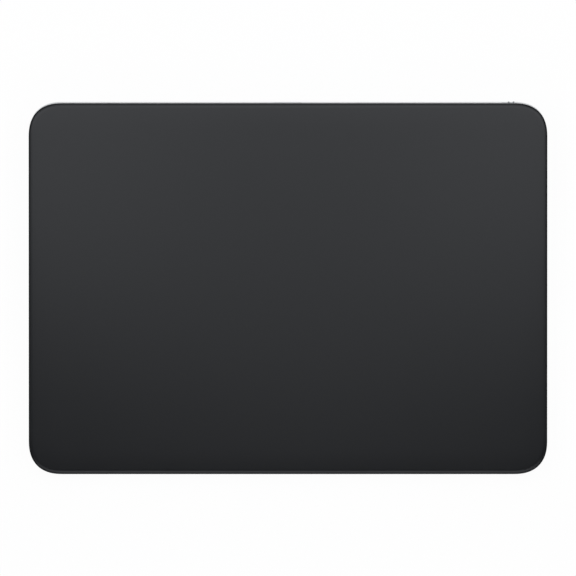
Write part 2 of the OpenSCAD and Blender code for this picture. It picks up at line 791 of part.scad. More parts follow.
tray();
glass_surface();
glass_bond();
touch_sensor_board();
touch_controller_chips();
attraction_plate();
flexure_screws();
haptic_base();
haptic_cores();
haptic_coils();
haptic_screws();
battery_cell();
battery_tape();
battery_protection_board();
battery_lead();
main_board();
board_chips();
board_connectors();
shield_can();
antenna();
board_screws();
port_shell();
port_tongue();
port_contacts();
switch_body();
switch_lever();
switch_knob();
touch_flex();
haptic_ribbon();
sensor_ribbon_left();
sensor_ribbon_right();
for (i = [0:3]) {
    gel_pad(i);
    flexure(i);
    strain_gauge(i);
    foot(i);
}
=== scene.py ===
"""Looks of a free-standing wireless trackpad: etched black glass over a silver wedge-shaped tray."""
import json
import math

import bmesh
import bpy
from mathutils import Matrix, Vector


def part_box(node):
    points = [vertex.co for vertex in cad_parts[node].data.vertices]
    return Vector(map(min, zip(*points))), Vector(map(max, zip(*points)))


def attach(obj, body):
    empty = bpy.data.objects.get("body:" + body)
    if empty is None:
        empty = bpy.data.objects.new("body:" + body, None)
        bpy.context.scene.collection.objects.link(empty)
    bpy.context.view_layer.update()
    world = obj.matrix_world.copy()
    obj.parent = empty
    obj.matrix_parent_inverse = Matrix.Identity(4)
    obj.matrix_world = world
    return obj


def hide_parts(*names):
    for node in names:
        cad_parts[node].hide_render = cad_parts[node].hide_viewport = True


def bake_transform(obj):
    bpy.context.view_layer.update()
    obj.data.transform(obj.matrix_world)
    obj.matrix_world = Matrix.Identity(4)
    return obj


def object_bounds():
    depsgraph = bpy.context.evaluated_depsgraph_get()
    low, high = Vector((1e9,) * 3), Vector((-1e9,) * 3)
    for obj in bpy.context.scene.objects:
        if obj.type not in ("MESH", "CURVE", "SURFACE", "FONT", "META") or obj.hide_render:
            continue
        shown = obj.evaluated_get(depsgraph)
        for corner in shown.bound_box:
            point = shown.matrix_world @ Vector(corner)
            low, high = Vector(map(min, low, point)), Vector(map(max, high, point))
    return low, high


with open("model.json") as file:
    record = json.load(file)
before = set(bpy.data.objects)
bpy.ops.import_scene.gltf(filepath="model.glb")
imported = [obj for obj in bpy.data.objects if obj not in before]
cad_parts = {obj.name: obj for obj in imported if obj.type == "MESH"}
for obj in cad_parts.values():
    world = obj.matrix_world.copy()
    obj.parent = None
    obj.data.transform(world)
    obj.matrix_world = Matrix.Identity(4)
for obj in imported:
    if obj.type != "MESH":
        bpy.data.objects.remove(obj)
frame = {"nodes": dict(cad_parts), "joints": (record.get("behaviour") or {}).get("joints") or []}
cad_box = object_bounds()

MM = 0.001

# The outline shared by the tray and the glass
CORNER_REACH = 10.5 * MM
CORNER_POWER = 2.44
CORNER_POINTS = 24

# The glass plate, from its top face down: a soft border rolls into a rounded edge
GLASS_T = 1.0 * MM
GLASS_LAP = 0.04 * MM
GLASS_EDGE_W = 1.4 * MM
GLASS_EDGE_H = 0.5 * MM
GLASS_ROLL_W = 7.0 * MM
GLASS_ROLL_H = 0.12 * MM
GLASS_CHAMFER = 0.1 * MM
GLASS_EDGE_STEPS = 14
GLASS_ROLL_STEPS = 12

# The tray and the openings of its rear wall
WALL_T = 1.6 * MM
FLOOR_T = 0.9 * MM
TRAY_EDGE_R = 1.2 * MM
RIM_DROP = 1.35 * MM
RIM_CHAMFER = 0.2 * MM
BOSS_D = 4.2 * MM
SEAT_CLEAR = 0.05 * MM
WALL_CLEAR = 0.15 * MM
OPENING_EDGE = 0.15 * MM
TRAY_EDGE_STEPS = 10
RIM_STEPS = 4
MOUTH_STEPS = 4

# The feet
CORNERS = ("front_left", "front_right", "rear_left", "rear_right")
FOOT_EDGE = 0.3 * MM
FOOT_SEAT_POINTS = 20

# The power switch's knob: a grip on a flange, with a socket for the lever and a thumb scoop
FLANGE_T = 0.7 * MM
FLANGE_EDGE = 0.12 * MM
FLANGE_CORNER = 0.3 * MM
FLANGE_STEPS = 3
GRIP_W = 2.1 * MM
GRIP_H = 2.2 * MM
GRIP_CORNER = 0.8 * MM
GRIP_EDGE = 0.15 * MM
LEVER_CLEAR = 0.1 * MM
LEVER_CORNER = 0.05 * MM
SCOOP_W = 1.2 * MM
SCOOP_DEPTH = 0.26 * MM
SCOOP_POINTS = 40

# The charging port
PORT_T = 0.3 * MM
PORT_EDGE = 0.4 * MM
PORT_EDGE_STEPS = 5
PORT_LIP_STEPS = 8
TONGUE_W = 6.69 * MM
TONGUE_T = 0.7 * MM
TONGUE_EDGE = 0.22 * MM
TONGUE_CORNER = 0.3 * MM

# The screws, each set seated on the piece that it holds
SCREW_SEATS = {
    "flexure_screws": "flexure_front_left",
    "haptic_screws": "haptic_base",
    "board_screws": "main_board",
}
SCREW_D = 1.5 * MM
SCREW_HEAD_H = 0.35 * MM
SCREW_HEAD_EDGE = 0.12 * MM
SCREW_TIP = 0.2 * MM
SCREW_POINTS = 12
HOLE_CLEAR = 0.05 * MM
BITE_CLEAR = 0.1 * MM
RECESS_L = 1.5 * MM
RECESS_W = 0.34 * MM
RECESS_CORNER = 0.08 * MM
RECESS_LEVEL = 0.12 * MM

# The coils, wound in layers of round wire
WINDING_W = 5.1 * MM
WIRE_LAYERS = 3
WIRE_STEPS = 5
COIL_POINTS = 10

# The battery's pouch, fuller in the middle than at its edges, and the vented shield can
CELL_EDGE = 0.8 * MM
CELL_CORNER = 1.5 * MM
POUCH_FULL = 0.12 * MM
POUCH_SPAN = 6.0 * MM
POUCH_STEPS = 8
CAN_T = 0.2 * MM
CAN_EDGE_R = 0.3 * MM
VENT_D = 0.6 * MM
VENT_PITCH = 1.2 * MM

# A flexure's neck, measured from the flexure's end under the gel pad, and the folds of what bends
NECK_TIP = 9.0 * MM
NECK_ROOT = 16.0 * MM
FOLDS = 8
FOLD_SNAP = 0.001 * MM

# Bodies, roundings and finishes of the inner pieces that only have their edges eased
EASED = (
    ("base", 0.12 * MM, "chip_black", ("board_chips",)),
    ("base", 0.12 * MM, "socket_plastic", ("board_connectors",)),
    ("base", 0.15 * MM, "core_iron", ("haptic_cores",)),
    ("base", 0.15 * MM, "switch_plastic", ("switch_body",)),
    ("base", 0.15 * MM, "antenna_ceramic", ("antenna",)),
    ("touch_plate", 0.12 * MM, "chip_black", ("touch_controller_chips",)),
    ("touch_plate", 0.08 * MM, "spring_steel", ("attraction_plate",)),
    ("power_slider", 0.12 * MM, "switch_plastic", ("switch_lever",)),
    ("gel_pads", 0.2 * MM, "gel_clear", ["gel_pad_" + corner for corner in CORNERS]),
)
EASE_STEPS = 3
# Edges that turn further than the first are eased; faces that turn less than the second are one
EASE_ANGLE = math.radians(40)
FLAT_ANGLE = math.radians(1)

# Meshes: points closer than the weld are one, and edges turned further than the crease stay sharp
WELD = 0.0005 * MM
SLIVER = 0.0002 * MM
CREASE = math.radians(32)
EDGE_STEPS = 6
# Points of each rounded corner of discs and of small pieces
DISC_POINTS = 10
SMALL_POINTS = 4
# Keeps rounding from dropping a step where a division comes out whole
NUDGE = 0.25
# Shading stays crisp next to a rounding when a narrow strip of the flat face ends it
EDGE_STRIP = 0.25 * MM

# Textures at scale 1: the width of a noise's lumps and the pitch of a wave's bands
NOISE_LUMP = 0.6
NOISE_ROUGH = 0.55
WAVE_PITCH = math.pi / 10

# The sheet that the object stands on; its shift keeps the sheet's diagonal from under the object
STAGE_SIDE = 3.0
STAGE_DROP = 0.02 * MM
STAGE_SHIFT = 0.5
# How much of the sheet is plain white close to the object, and where its shadow fades out
FLOOR_WHITE = 0.95
SHADOW_NEAR = 0.05
SHADOW_FADE = 0.2
# In gloss: how white the sheet is, how far it reaches, and the dim room beyond it
FLOOR_GLOSS = 0.38
SHEET_REACH = 0.15
SHEET_FADE = 0.4
DARK_ROOM = 0.06
# Light from all round on what isn't glossy
FILL = 0.42

# Soft boxes, level with the sheet: name, X and Y of the middle, width, depth and radiance
LAMP_Z = 0.36
LAMP_COLOUR = (0.965, 0.99, 1.035)
LAMPS = (
    ("over_middle", 0, -0.0315, 0.1, 0.107, 0.74),
    ("over_left", -0.0725, -0.0065, 0.045, 0.085, 1.45),
    ("side_left", -0.3475, 0.0, 0.505, 0.066, 1.04),
    ("over_right", 0.0725, -0.0065, 0.045, 0.085, 1.45),
    ("side_right", 0.3475, 0.0, 0.505, 0.066, 1.04),
    ("rear", 0, 0.18, 0.9, 0.3, 1.3),
    ("rear_low", 0, 0.47, 0.36, 0.28, 0.7),
    ("front", 0, -0.4, 0.9, 0.2, 1.12),
    ("front_low", 0, -0.59, 0.36, 0.18, 1.12),
)

# The camera: pixels of the picture and of the object's width in it
FRAME_PIXELS = 576
PLAN_PIXELS = 518.43
CAMERA_Y = -0.083 * MM
CAMERA_LENS = 1650
CAMERA_SENSOR = 36
CAMERA_REACH = 100


def joint(name):
    """The record's joint of that name."""
    return next(item for item in frame["joints"] if item["name"] == name)


def deck_frame():
    """The glass's top plane: X along the width, Y up the slope, Z out of the glass."""
    out = -Vector(joint("surface_press")["axis"]).normalized()
    up_slope = Vector((0, out.z, -out.y))
    places = [vertex.co for vertex in frame["nodes"]["glass_surface"].data.vertices]
    along = [place.dot(up_slope) for place in places]
    level = max(place.dot(out) for place in places)
    origin = up_slope * (min(along) + max(along)) / 2 + out * level
    turn = Matrix((Vector((1, 0, 0)), up_slope, out)).transposed()
    return Matrix.Translation(origin) @ turn.to_4x4()


DECK = deck_frame()
DECK_INVERSE = DECK.inverted()
DECK_SLOPE = DECK[2][1] / DECK[2][2]
# Turns a piece drawn along Z so that it points out of the rear wall
REARWARD = Matrix(((-1, 0, 0, 0), (0, 0, 1, 0), (0, 1, 0, 0), (0, 0, 0, 1)))


def deck_corners(spots):
    """Lowest and highest corner of a set of spots, in the deck's own directions."""
    places = [DECK_INVERSE @ spot for spot in spots]
    low = Vector([min(place[axis] for place in places) for axis in range(3)])
    high = Vector([max(place[axis] for place in places) for axis in range(3)])
    return low, high


def deck_box(node):
    """Lowest and highest corner of a CAD node on the deck."""
    return deck_corners([vertex.co for vertex in frame["nodes"][node].data.vertices])


def island_boxes(node):
    """Deck boxes of the separate solids of a CAD node, such as each screw of a set."""
    mesh = bmesh.new()
    mesh.from_mesh(frame["nodes"][node].data)
    bmesh.ops.remove_doubles(mesh, verts=mesh.verts, dist=WELD)
    waiting = set(mesh.verts)
    boxes = []
    while waiting:
        front = [waiting.pop()]
        spots = []
        while front:
            vertex = front.pop()
            spots.append(vertex.co.copy())
            for edge in vertex.link_edges:
                other = edge.other_vert(vertex)
                if other in waiting:
                    waiting.remove(other)
                    front.append(other)
        boxes.append(deck_corners(spots))
    mesh.free()
    return sorted(boxes, key=lambda pair: tuple(pair[0]))


TRAY_LOW, TRAY_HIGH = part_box("tray")
PAD_W = TRAY_HIGH.x - TRAY_LOW.x
PAD_D = deck_box("tray")[1].y - deck_box("tray")[0].y
KNOB_LOW, KNOB_HIGH = deck_box("switch_knob")
KNOB_MIDDLE = (KNOB_LOW.x + KNOB_HIGH.x) / 2
PORT_LOW, PORT_HIGH = deck_box("port_shell")
PORT_W = PORT_HIGH.x - PORT_LOW.x
PORT_H = PORT_HIGH.z - PORT_LOW.z
# The port and the switch lie at one level
AXIS_LEVEL = (PORT_LOW.z + PORT_HIGH.z) / 2


class Sock:
    """A node socket that can be used in plain arithmetic; each step adds its Math node."""

    def __init__(self, maker, socket):
        self.maker = maker
        self.socket = socket

    def calc(self, operation, *values):
        return self.maker.node("ShaderNodeMath", {"operation": operation}, dict(enumerate(values)))

    def __add__(self, other):
        return self.calc("ADD", self, other)

    def __radd__(self, other):
        return self.calc("ADD", other, self)

    def __sub__(self, other):
        return self.calc("SUBTRACT", self, other)

    def __rsub__(self, other):
        return self.calc("SUBTRACT", other, self)

    def __mul__(self, other):
        return self.calc("MULTIPLY", self, other)

    def __rmul__(self, other):
        return self.calc("MULTIPLY", other, self)

    def __truediv__(self, other):
        return self.calc("DIVIDE", self, other)

    def __rtruediv__(self, other):
        return self.calc("DIVIDE", other, self)

    def __pow__(self, other):
        return self.calc("POWER", self, other)

    def __mod__(self, other):
        return self.calc("MODULO", self, other)

    def at_least(self, other):
        return self.calc("MAXIMUM", self, other)

    def at_most(self, other):
        return self.calc("MINIMUM", self, other)

    def floor(self):
        return self.calc("FLOOR", self)

    def cosine(self):
        return self.calc("COSINE", self)

    def sine(self):
        return self.calc("SINE", self)

    def over(self, limit):
        return self.calc("GREATER_THAN", self, limit)


class Maker:
    """Adds nodes to one tree; a node's settings are set first, then its sockets."""

    def __init__(self, tree):
        self.tree = tree

    def put(self, socket, value):
        if isinstance(value, Sock):
            self.tree.links.new(value.socket, socket)
        else:
            socket.default_value = value

    def node(self, kind, settings=None, inputs=None, out=(0,)):
        """Adds a node and gives the named outputs, or the one output where only one is named."""
        node = self.tree.nodes.new(kind)
        for key, value in (settings or {}).items():
            setattr(node, key, value)
        for key, value in (inputs or {}).items():
            self.put(node.inputs[key], value)
        outputs = [Sock(self, node.outputs[key]) for key in out if node.outputs]
        return outputs[0] if len(outputs) == 1 else outputs


def geometry_tree(name, named_inputs):
    """A Geometry Nodes tree with one Geometry and the named inputs; gives its maker and inputs."""
    tree = bpy.data.node_groups.new(name, "GeometryNodeTree")
    tree.interface.new_socket("Geometry", in_out="INPUT", socket_type="NodeSocketGeometry")
    tree.interface.new_socket("Geometry", in_out="OUTPUT", socket_type="NodeSocketGeometry")
    for label, kind in named_inputs:
        tree.interface.new_socket(label, in_out="INPUT", socket_type="NodeSocket" + kind)
    maker = Maker(tree)
    labels = ["Geometry"] + [label for label, kind in named_inputs]
    return maker, dict(zip(labels, maker.node("NodeGroupInput", out=labels)))


def finish_tree(maker, shape, material):
    """Ends a Geometry Nodes tree with a plain mesh in its material."""
    whole = maker.node("GeometryNodeRealizeInstances", inputs={"Geometry": shape})
    painted = maker.node("GeometryNodeSetMaterial", inputs={"Geometry": whole, "Material": material})
    maker.node("NodeGroupOutput", inputs={"Geometry": painted})
    return maker.tree


def holding(mesh):
    """An object that holds a mesh while a modifier works on it."""
    holder = bpy.data.objects.new("holder", mesh)
    bpy.context.scene.collection.objects.link(holder)
    return holder


def evaluated(holder):
    """The plain mesh that an object's modifiers make; the object and its own mesh go."""
    holder.update_tag()
    bpy.context.view_layer.update()
    graph = bpy.context.evaluated_depsgraph_get()
    mesh = bpy.data.meshes.new_from_object(holder.evaluated_get(graph))
    source = holder.data
    bpy.data.objects.remove(holder)
    bpy.data.meshes.remove(source)
    return mesh


def run_tree(tree, points, values):
    """Runs a tree on an object that holds the given points and returns its plain mesh."""
    source = bpy.data.meshes.new("points")
    source.from_pydata(points, [], [])
    holder = holding(source)
    modifier = holder.modifiers.new("shape", "NODES")
    modifier.node_group = tree
    for item in tree.interface.items_tree:
        if item.in_out == "INPUT" and item.name in values:
            modifier[item.identifier] = values[item.name]
    return evaluated(holder)


def build_sweep_tree():
    """Sweeps a profile round a rounded rectangle whose corners are superellipse quarters.

    A profile point's X is its inset from the outline and its Z its level. Its Y is 1 where the
    level is measured square to the desk, which the slope then turns into the deck's own level.
    """
    maker, given = geometry_tree("outline_sweep", [
        ("Width", "Float"), ("Depth", "Float"), ("Corner", "Float"), ("Power", "Float"),
        ("Corner Points", "Int"), ("Slope", "Float"), ("Material", "Material")])
    profile = given["Geometry"]
    rings = maker.node("GeometryNodeAttributeDomainSize", inputs={"Geometry": profile})
    per_corner = given["Corner Points"]
    around = per_corner * 4
    columns = around + 1
    grid = maker.node("GeometryNodeMeshGrid", inputs={
        "Size X": 1.0, "Size Y": 1.0, "Vertices X": rings, "Vertices Y": columns})
    index = maker.node("GeometryNodeInputIndex")
    ring = ((index + NUDGE) / columns).floor()
    step = (index - ring * columns) % around
    quarter = ((step + NUDGE) / per_corner).floor()
    angle = (step - quarter * per_corner) / (per_corner - 1) * (math.pi / 2)
    place = maker.node("GeometryNodeInputPosition")
    sampled = maker.node("GeometryNodeSampleIndex", {"data_type": "FLOAT_VECTOR"}, {
        "Geometry": profile, "Value": place, "Index": ring})
    inset, desk_based, level = maker.node("ShaderNodeSeparateXYZ", inputs={"Vector": sampled}, out="XYZ")
    corner = given["Corner"]
    reach = (corner - inset).at_least(0.0)
    half_x = (given["Width"] / 2 - corner.at_least(inset)).at_least(0.0)
    half_y = (given["Depth"] / 2 - corner.at_least(inset)).at_least(0.0)
    bend = 2.0 / given["Power"]
    along = angle.cosine().at_least(0.0) ** bend
    across = angle.sine().at_least(0.0) ** bend
    turn = quarter * (math.pi / 2)
    turn_x = turn.cosine()
    turn_y = turn.sine()
    side = turn + math.pi / 4
    x = side.cosine() * math.sqrt(2) * half_x + reach * (along * turn_x - across * turn_y)
    y = side.sine() * math.sqrt(2) * half_y + reach * (along * turn_y + across * turn_x)
    z = level - desk_based * y * given["Slope"]
    spot = maker.node("ShaderNodeCombineXYZ", inputs={"X": x, "Y": y, "Z": z})
    shaped = maker.node("GeometryNodeSetPosition", inputs={"Geometry": grid, "Position": spot})
    closed = maker.node("GeometryNodeMergeByDistance", inputs={"Geometry": shaped, "Distance": WELD})
    return finish_tree(maker, closed, given["Material"])


SWEEP_TREE = build_sweep_tree()


def sweep(profile, width, depth, corner, place=None, power=2.0, points=CORNER_POINTS, slope=0.0):
    """A closed mesh swept from a profile of (inset, level) or (inset, level, on the desk).

    A power of 2 gives corners that are parts of a circle.
    """
    spots = [(item[0], item[2] if len(item) > 2 else 0.0, item[1]) for item in profile]
    mesh = run_tree(SWEEP_TREE, spots, {
        "Width": width, "Depth": depth, "Corner": corner, "Power": power,
        "Corner Points": points, "Slope": slope})
    mesh.transform(place or Matrix())
    return face_outward(mesh)


def edited(mesh, change):
    """The same mesh after a change to its points and faces."""
    shape = bmesh.new()
    shape.from_mesh(mesh)
    change(shape)
    shape.to_mesh(mesh)
    shape.free()
    return mesh


def face_outward(mesh):
    """The same mesh with its seams welded, its slivers gone and its faces turned outwards."""
    def mend(shape):
        bmesh.ops.remove_doubles(shape, verts=shape.verts, dist=WELD)
        bmesh.ops.dissolve_degenerate(shape, edges=shape.edges, dist=SLIVER)
        bmesh.ops.recalc_face_normals(shape, faces=shape.faces)

    return edited(mesh, mend)


def node_copy(node):
    """A welded copy of a CAD node's mesh."""
    return face_outward(frame["nodes"][node].data.copy())


def joined(meshes):
    """One mesh that holds several."""
    def gather(shape):
        for mesh in meshes:
            shape.from_mesh(mesh)
            bpy.data.meshes.remove(mesh)

    return edited(bpy.data.meshes.new("joined"), gather)


def combined(mesh, other, operation):
    """The first mesh with the other one cut away or added."""
    holder, cutter = holding(mesh), holding(other)
    modifier = holder.modifiers.new("cut", "BOOLEAN")
    modifier.operation = operation
    modifier.solver = "EXACT"
    modifier.object = cutter
    result = evaluated(holder)
    bpy.data.objects.remove(cutter)
    bpy.data.meshes.remove(other)
    return face_outward(result)


def crisp(mesh):
    """Smooth shading in which a large flat face stays flat up to the roundings at its ends."""
    mesh.polygons.foreach_set("use_smooth", [True] * len(mesh.polygons))
    mesh.set_sharp_from_angle(angle=CREASE)
    holder = holding(mesh)
    shading = holder.modifiers.new("shading", "WEIGHTED_NORMAL")
    shading.keep_sharp = True
    split = holder.modifiers.new("split", "TRIANGULATE")
    split.ngon_method = "BEAUTY"
    split.min_vertices = 5
    split.keep_custom_normals = True
    return evaluated(holder)


def piece(name, mesh, node, slot, body="base", bend=None):
    """Puts a finished mesh in place of its CAD node and hides the node; it hangs on its body, or, when
    bend is given, stays loose with its place baked in; bend's points are not read.
    """
    mesh.materials.clear()
    mesh.materials.append(FINISHES[slot])
    item = bpy.data.objects.new(name, crisp(mesh))
    item.data.name = name
    bpy.context.scene.collection.objects.link(item)
    if bend:
        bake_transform(item)
    else:
        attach(item, body)
    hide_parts(node)


def rounded(radius, level, steps=EDGE_STEPS):
    """Profile points of an upper edge, from the side wall round to the face at the given level."""
    angles = [math.pi / 2 * step / steps for step in range(steps + 1)]
    return [(radius * (1 - math.cos(a)), level - radius * (1 - math.sin(a))) for a in angles]


def rounded_under(radius, level, steps=EDGE_STEPS):
    """Profile points of a lower edge, from the face at the given level round to the side wall."""
    angles = [math.pi / 2 * step / steps for step in range(steps + 1)]
    return [(radius * (1 - math.sin(a)), level + radius * (1 - math.cos(a))) for a in angles]


def with_alpha(value):
    """A plain colour with its alpha; a socket or a number stays as it is."""
    return (*value, 1) if isinstance(value, tuple) else value


class Finish(Maker):
    """One procedural material, drawn in the object's own metres."""

    def __init__(self, name):
        self.material = bpy.data.materials.new("look_" + name)
        self.material.use_nodes = True
        super().__init__(self.material.node_tree)
        self.tree.nodes.clear()
        self.spot = self.node("ShaderNodeTexCoord", out=("Object",))

    def noise(self, grain, detail=2.0, stretch=(1, 1, 1)):
        """Cloudy values from 0 to 1 whose lumps are about one grain across, in metres."""
        spot = self.node("ShaderNodeMapping", inputs={"Vector": self.spot, "Scale": stretch})
        return self.node("ShaderNodeTexNoise", inputs={
            "Vector": spot, "Scale": NOISE_LUMP / grain, "Detail": detail, "Roughness": NOISE_ROUGH})

    def bands(self, pitch):
        """Even bands across the width, from 0 to 1, one pitch apart."""
        return self.node("ShaderNodeTexWave", {"bands_direction": "X"}, {
            "Vector": self.spot, "Scale": WAVE_PITCH / pitch})

    def mix(self, factor, first, second):
        """A colour between two, each given as red, green and blue or as a socket."""
        return self.node("ShaderNodeMix", {"data_type": "RGBA"}, {
            0: factor, 6: with_alpha(first), 7: with_alpha(second)}, out=(2,))

    def bump(self, height, strength, depth):
        return self.node("ShaderNodeBump", inputs={
            "Height": height, "Strength": strength, "Distance": depth})

    def done(self, **inputs):
        """Closes the material with the given Principled sockets, written with _ for spaces."""
        named = {key.replace("_", " "): with_alpha(value) for key, value in inputs.items()}
        shader = self.node("ShaderNodeBsdfPrincipled", inputs=named)
        self.node("ShaderNodeOutputMaterial", inputs={"Surface": shader})
        return self.material


def etched_glass():
    """Black-backed glass, etched matt, with the faint unevenness of a handled surface."""
    finish = Finish("etched_glass")
    etch = finish.noise(0.12 * MM)
    handled = finish.noise(26 * MM, 3.0, (1, 0.6, 1))
    tone = finish.mix(handled, (0.006, 0.0067, 0.008), (0.0072, 0.0079, 0.0092))
    uneven = 0.27 + etch * 0.03 + handled * 0.03
    return finish.done(Base_Color=tone, Roughness=uneven, IOR=1.5,
                       Normal=finish.bump(etch, 0.05, 0.01 * MM))


def anodised(name, pale, dark, rough=0.34):
    """Bead-blasted and anodised metal: even fine pits and slow drifts of tone."""
    finish = Finish(name)
    pits = finish.noise(0.2 * MM)
    drift = finish.noise(18 * MM, 3.0)
    tone = finish.mix(drift * 0.7 + pits * 0.3, dark, pale)
    uneven = rough + pits * 0.07 + drift * 0.05
    return finish.done(Base_Color=tone, Metallic=1.0, Roughness=uneven,
                       Normal=finish.bump(pits, 0.12, 0.02 * MM))


def brushed(name, pale, dark, rough, along=(1, 1, 1)):
    """Drawn or stamped metal with fine lines and slightly worn patches."""
    finish = Finish(name)
    lines = finish.noise(0.1 * MM, 2.0, along)
    worn = finish.noise(3 * MM, 3.0)
    tone = finish.mix(lines * 0.6 + worn * 0.4, dark, pale)
    uneven = rough + lines * 0.1 + worn * 0.08
    return finish.done(Base_Color=tone, Metallic=1.0, Roughness=uneven,
                       Normal=finish.bump(lines, 0.15, 0.01 * MM))


def moulded(name, pale, dark, rough, grain=0.25 * MM, texture=0.2):
    """Moulded plastic or rubber with a fine spark-eroded texture."""
    finish = Finish(name)
    sparks = finish.noise(grain, 3.0)
    flow = finish.noise(6 * MM, 2.0)
    tone = finish.mix(sparks * 0.5 + flow * 0.5, dark, pale)
    uneven = rough + sparks * 0.12 + flow * 0.06
    return finish.done(Base_Color=tone, Roughness=uneven, Normal=finish.bump(sparks, texture, 0.03 * MM))


def circuit_board():
    """Green solder mask over a dense run of tracks and vias."""
    finish = Finish("circuit_board")
    tracks = finish.node("ShaderNodeTexBrick", {"offset": 0.37, "squash": 1.7, "squash_frequency": 3}, {
        "Vector": finish.spot, "Scale": 260.0, "Mortar Size": 0.035, "Mortar Smooth": 0.2,
        "Brick Width": 0.9, "Row Height": 0.16}, out=("Fac",))
    vias = finish.node("ShaderNodeTexVoronoi", inputs={"Vector": finish.spot, "Scale": 420.0})
    pads = 1 - (vias * 5.0).at_most(1.0)
    cloud = finish.noise(2 * MM)
    mask = finish.mix(cloud, (0.004, 0.045, 0.018), (0.006, 0.06, 0.024))
    lined = finish.mix(tracks * 0.8, mask, (0.02, 0.13, 0.05))
    tone = finish.mix(pads * 0.7, lined, (0.32, 0.2, 0.06))
    height = tracks * 0.6 + pads
    return finish.done(Base_Color=tone, Roughness=0.3 + cloud * 0.12, Coat_Weight=0.25,
                       Normal=finish.bump(height, 0.3, 0.03 * MM))


def film(name, pale, dark, track, pitch=0.5 * MM, clear=0.0):
    """Thin film with fine tracks that run along it."""
    finish = Finish(name)
    lines = finish.bands(pitch).over(0.72)
    cloud = finish.noise(2.5 * MM)
    base = finish.mix(cloud, dark, pale)
    tone = finish.mix(lines * 0.75, base, track)
    return finish.done(Base_Color=tone, Roughness=0.26 + cloud * 0.14, Transmission_Weight=clear,
                       Normal=finish.bump(lines, 0.2, 0.02 * MM))


def cell_foil():
    """Laminated pouch foil: soft, slightly creased and satin."""
    finish = Finish("cell_foil")
    creases = finish.noise(7 * MM, 4.0, (1, 2.2, 1))
    weave = finish.noise(0.3 * MM)
    tone = finish.mix(creases, (0.5, 0.51, 0.53), (0.66, 0.67, 0.69))
    return finish.done(Base_Color=tone, Metallic=0.9, Roughness=0.36 + creases * 0.12 + weave * 0.05,
                       Normal=finish.bump(creases * 0.8 + weave * 0.1, 0.5, 0.12 * MM))


def wound_copper():
    """Enamelled copper wire, a little darker where the varnish lies thick."""
    finish = Finish("coil_copper")
    varnish = finish.noise(1.2 * MM)
    drawn = finish.noise(0.12 * MM)
    tone = finish.mix(varnish * 0.7 + drawn * 0.3, (0.42, 0.13, 0.045), (0.7, 0.29, 0.12))
    return finish.done(Base_Color=tone, Metallic=0.9, Roughness=0.24 + varnish * 0.12 + drawn * 0.06,
                       Normal=finish.bump(drawn, 0.2, 0.01 * MM))


FINISHES = {
    "etched_glass": etched_glass(),
    "anodised_tray": anodised("anodised_tray", (0.68, 0.685, 0.695), (0.62, 0.625, 0.635)),
    # Painted shade: the knob is the same aluminium as the tray, painted darker so that it reads as
    # shaded
    "knob_metal": anodised("knob_metal", (0.46, 0.465, 0.475), (0.4, 0.405, 0.415), 0.3),
    "foot_rubber": moulded("foot_rubber", (0.056, 0.056, 0.058), (0.042, 0.042, 0.044), 0.62,
                           0.3 * MM, 0.3),
    "port_steel": brushed("port_steel", (0.6, 0.59, 0.58), (0.46, 0.45, 0.44), 0.24, (1, 0.08, 1)),
    "port_plastic": moulded("port_plastic", (0.02, 0.02, 0.021), (0.011, 0.011, 0.012), 0.42),
    "contact_gold": brushed("contact_gold", (0.95, 0.66, 0.28), (0.8, 0.52, 0.2), 0.18, (1, 0.1, 1)),
    "spring_steel": brushed("spring_steel", (0.6, 0.6, 0.6), (0.48, 0.48, 0.48), 0.26, (1, 0.06, 1)),
    "screw_steel": brushed("screw_steel", (0.56, 0.56, 0.57), (0.42, 0.42, 0.43), 0.24),
    "core_iron": brushed("core_iron", (0.36, 0.35, 0.34), (0.22, 0.21, 0.2), 0.38, (0.1, 1, 1)),
    "coil_copper": wound_copper(),
    "cell_foil": cell_foil(),
    "circuit_board": circuit_board(),
    "chip_black": moulded("chip_black", (0.024, 0.024, 0.025), (0.013, 0.013, 0.014), 0.46,
                          0.15 * MM, 0.25),
    "white_tape": moulded("white_tape", (0.78, 0.78, 0.76), (0.66, 0.66, 0.64), 0.5, 0.4 * MM),
    "amber_film": film("amber_film", (0.5, 0.2, 0.03), (0.4, 0.15, 0.02), (0.62, 0.3, 0.08)),
    "clear_film": film("clear_film", (0.82, 0.83, 0.84), (0.74, 0.75, 0.76), (0.78, 0.79, 0.8),
                       2 * MM, 0.6),
    "gel_clear": film("gel_clear", (0.74, 0.77, 0.79), (0.66, 0.69, 0.71), (0.7, 0.73, 0.75),
                      2 * MM, 0.4),
    "socket_plastic": moulded("socket_plastic", (0.62, 0.59, 0.5), (0.5, 0.47, 0.39), 0.44),
    "antenna_ceramic": moulded("antenna_ceramic", (0.7, 0.69, 0.66), (0.58, 0.57, 0.54), 0.36),
    "switch_plastic": moulded("switch_plastic", (0.03, 0.03, 0.032), (0.018, 0.018, 0.02), 0.4),
}


def glass_fall(inset):
    """How far the glass's top has sunk at an inset from its edge: soft border, then rolled edge."""
    roll = max(0.0, 1 - inset / GLASS_ROLL_W)
    edge = max(0.0, 1 - inset / GLASS_EDGE_W)
    return GLASS_ROLL_H * roll ** 2 + GLASS_EDGE_H * edge ** 2


def build_glass():
    """A plate that laps a little over the tray's rim, flat below and softly rolled above."""
    foot = GLASS_CHAMFER - GLASS_LAP
    profile = [(PAD_W / 2, -GLASS_T), (foot + EDGE_STRIP, -GLASS_T), (foot, -GLASS_T),
               (-GLASS_LAP, -GLASS_T + GLASS_CHAMFER)]
    border_w = GLASS_ROLL_W - GLASS_EDGE_W
    insets = [GLASS_EDGE_W * step / GLASS_EDGE_STEPS for step in range(GLASS_EDGE_STEPS + 1)]
    for step in range(1, GLASS_ROLL_STEPS + 1):
        insets.append(GLASS_EDGE_W + border_w * step / GLASS_ROLL_STEPS)
    profile += [(inset - GLASS_LAP, -glass_fall(inset)) for inset in insets]
    profile += [(GLASS_ROLL_W - GLASS_LAP + EDGE_STRIP, 0.0), (PAD_W / 2, 0.0)]
    return sweep(profile, PAD_W, PAD_D, CORNER_REACH, DECK, CORNER_POWER)


